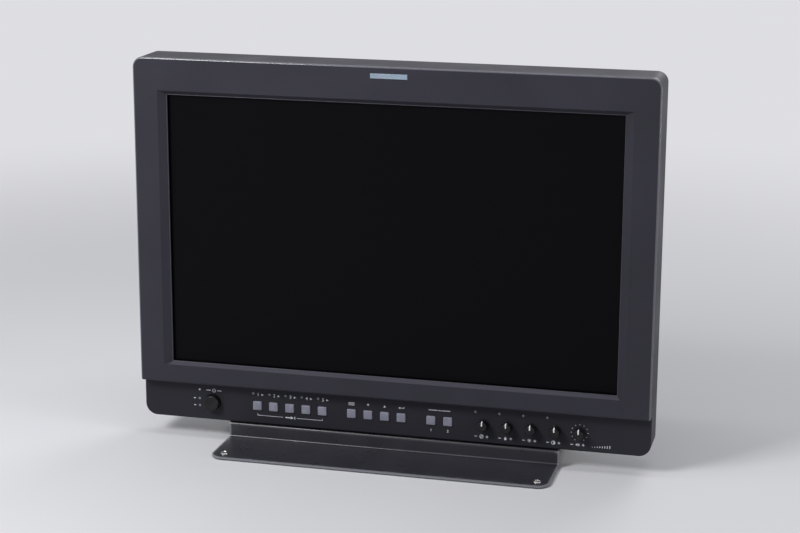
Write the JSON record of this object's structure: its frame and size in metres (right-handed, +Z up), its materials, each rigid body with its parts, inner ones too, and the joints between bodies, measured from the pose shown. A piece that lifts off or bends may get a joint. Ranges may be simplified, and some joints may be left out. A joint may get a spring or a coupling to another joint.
{
  "type": "video monitor",
  "caption": "Desktop studio video monitor: wide flat screen head with a row of buttons and knobs, on a low tilting bent-steel stand.",
  "frame": {"origin": "on the table, under the middle of the part's bounding box", "axes": "+X to the viewer's right along the screen's width, -Y towards the viewer, +Z up"},
  "size_m": [0.426, 0.19, 0.3204],
  "materials": {
    "housing": "fine spark-textured charcoal moulding",
    "panel": "fine textured black moulding",
    "stand_paint": "satin grey powder coat on bent steel",
    "screen_glass": "black screen with a satin polariser",
    "button_plastic": "satin pale grey moulding",
    "knob_plastic": "satin black moulding",
    "tally_plastic": "milky blue-grey lens",
    "lamp_plastic": "clear light pipe",
    "zinc_steel": "zinc-plated sheet and turned parts",
    "screw_steel": "bright plated",
    "black_screw": "black plated",
    "pad_rubber": "matt black",
    "circuit_board": "green solder mask",
    "socket_plastic": "black moulding",
    "nickel": "nickel plated",
    "clear_acrylic": "clear acrylic",
    "diffuser_film": "milky film",
    "lamp_glass": "coated tube",
    "speaker_parts": "black"
  },
  "bodies": {
    "stand": {"stand_base": "stand_paint", "foot_pads": "pad_rubber", "foot_screws": "screw_steel", "hinge_brackets": "zinc_steel", "bracket_screws": "screw_steel", "hinge_pins": "zinc_steel", "friction_washers": "screw_steel", "hinge_nuts": "zinc_steel"},
    "head": {"front_bezel": "housing", "cabinet": "housing", "case_screws": "black_screw", "control_panel": "panel", "lamp_windows": "lamp_plastic", "tally_lens": "tally_plastic", "tally_board": "circuit_board", "rear_cover": "housing", "cover_screws": "black_screw", "speaker": "speaker_parts", "mounting_posts": "zinc_steel", "chassis_plate": "zinc_steel", "panel_rails": "zinc_steel", "tilt_arms": "zinc_steel", "arm_screws": "screw_steel", "connector_panel": "zinc_steel", "bnc_jacks": "nickel", "audio_jacks": "nickel", "d_sub_ports": "nickel", "dc_inlet": "socket_plastic", "ac_inlet": "socket_plastic", "lcd_frame": "zinc_steel", "backlight_tray": "zinc_steel", "backlight_lamps": "lamp_glass", "main_board": "circuit_board", "power_board": "circuit_board", "inverter_board": "circuit_board", "control_board": "circuit_board", "button_switches": "socket_plastic", "knob_potentiometers": "socket_plastic", "power_switch": "socket_plastic", "lcd_cell": "screen_glass", "diffuser_stack": "diffuser_film", "light_guide": "clear_acrylic"},
    "function_button_1": {"function_button_1": "button_plastic"},
    "function_button_2": {"function_button_2": "button_plastic"},
    "input_button_1": {"input_button_1": "button_plastic"},
    "input_button_2": {"input_button_2": "button_plastic"},
    "input_button_3": {"input_button_3": "button_plastic"},
    "input_button_4": {"input_button_4": "button_plastic"},
    "input_button_5": {"input_button_5": "button_plastic"},
    "menu_button_1": {"menu_button_1": "button_plastic"},
    "menu_button_2": {"menu_button_2": "button_plastic"},
    "menu_button_3": {"menu_button_3": "button_plastic"},
    "menu_button_4": {"menu_button_4": "button_plastic"},
    "picture_knob_1": {"picture_knob_1": "knob_plastic"},
    "picture_knob_2": {"picture_knob_2": "knob_plastic"},
    "picture_knob_3": {"picture_knob_3": "knob_plastic"},
    "picture_knob_4": {"picture_knob_4": "knob_plastic"},
    "power_button": {"power_button": "knob_plastic"},
    "volume_knob": {"volume_knob": "knob_plastic"}
  },
  "joints": [
    {"name": "head_tilt", "type": "hinge", "parent": "stand", "child": "head", "pos_m": [0, 0.0095, 0.0364], "axis": [-1, 0, 0], "range_deg": [0, 20]},
    {"name": "power_button_press", "type": "slide", "parent": "head", "child": "power_button", "axis": [0, 1, 0], "range_m": [0, 0.0025], "stiffness_N_per_m": 600, "springref_m": -0.001},
    {"name": "input_button_1_press", "type": "slide", "parent": "head", "child": "input_button_1", "axis": [0, 1, 0], "range_m": [0, 0.0008], "stiffness_N_per_m": 1000, "springref_m": -0.0005},
    {"name": "input_button_2_press", "type": "slide", "parent": "head", "child": "input_button_2", "axis": [0, 1, 0], "range_m": [0, 0.0008], "stiffness_N_per_m": 1000, "springref_m": -0.0005},
    {"name": "input_button_3_press", "type": "slide", "parent": "head", "child": "input_button_3", "axis": [0, 1, 0], "range_m": [0, 0.0008], "stiffness_N_per_m": 1000, "springref_m": -0.0005},
    {"name": "input_button_4_press", "type": "slide", "parent": "head", "child": "input_button_4", "axis": [0, 1, 0], "range_m": [0, 0.0008], "stiffness_N_per_m": 1000, "springref_m": -0.0005},
    {"name": "input_button_5_press", "type": "slide", "parent": "head", "child": "input_button_5", "axis": [0, 1, 0], "range_m": [0, 0.0008], "stiffness_N_per_m": 1000, "springref_m": -0.0005},
    {"name": "menu_button_1_press", "type": "slide", "parent": "head", "child": "menu_button_1", "axis": [0, 1, 0], "range_m": [0, 0.0008], "stiffness_N_per_m": 1000, "springref_m": -0.0005},
    {"name": "menu_button_2_press", "type": "slide", "parent": "head", "child": "menu_button_2", "axis": [0, 1, 0], "range_m": [0, 0.0008], "stiffness_N_per_m": 1000, "springref_m": -0.0005},
    {"name": "menu_button_3_press", "type": "slide", "parent": "head", "child": "menu_button_3", "axis": [0, 1, 0], "range_m": [0, 0.0008], "stiffness_N_per_m": 1000, "springref_m": -0.0005},
    {"name": "menu_button_4_press", "type": "slide", "parent": "head", "child": "menu_button_4", "axis": [0, 1, 0], "range_m": [0, 0.0008], "stiffness_N_per_m": 1000, "springref_m": -0.0005},
    {"name": "function_button_1_press", "type": "slide", "parent": "head", "child": "function_button_1", "axis": [0, 1, 0], "range_m": [0, 0.0008], "stiffness_N_per_m": 1000, "springref_m": -0.0005},
    {"name": "function_button_2_press", "type": "slide", "parent": "head", "child": "function_button_2", "axis": [0, 1, 0], "range_m": [0, 0.0008], "stiffness_N_per_m": 1000, "springref_m": -0.0005},
    {"name": "picture_knob_1_turn", "type": "hinge", "parent": "head", "child": "picture_knob_1", "pos_m": [0.0775, -0.0485, 0.032], "axis": [0, 1, 0], "range_deg": [-150, 150]},
    {"name": "picture_knob_2_turn", "type": "hinge", "parent": "head", "child": "picture_knob_2", "pos_m": [0.0971, -0.0485, 0.032], "axis": [0, 1, 0], "range_deg": [-150, 150]},
    {"name": "picture_knob_3_turn", "type": "hinge", "parent": "head", "child": "picture_knob_3", "pos_m": [0.1167, -0.0485, 0.032], "axis": [0, 1, 0], "range_deg": [-150, 150]},
    {"name": "picture_knob_4_turn", "type": "hinge", "parent": "head", "child": "picture_knob_4", "pos_m": [0.1363, -0.0485, 0.032], "axis": [0, 1, 0], "range_deg": [-150, 150]},
    {"name": "volume_knob_turn", "type": "hinge", "parent": "head", "child": "volume_knob", "pos_m": [0.1559, -0.0485, 0.032], "axis": [0, 1, 0], "range_deg": [-150, 150]}
  ]
}
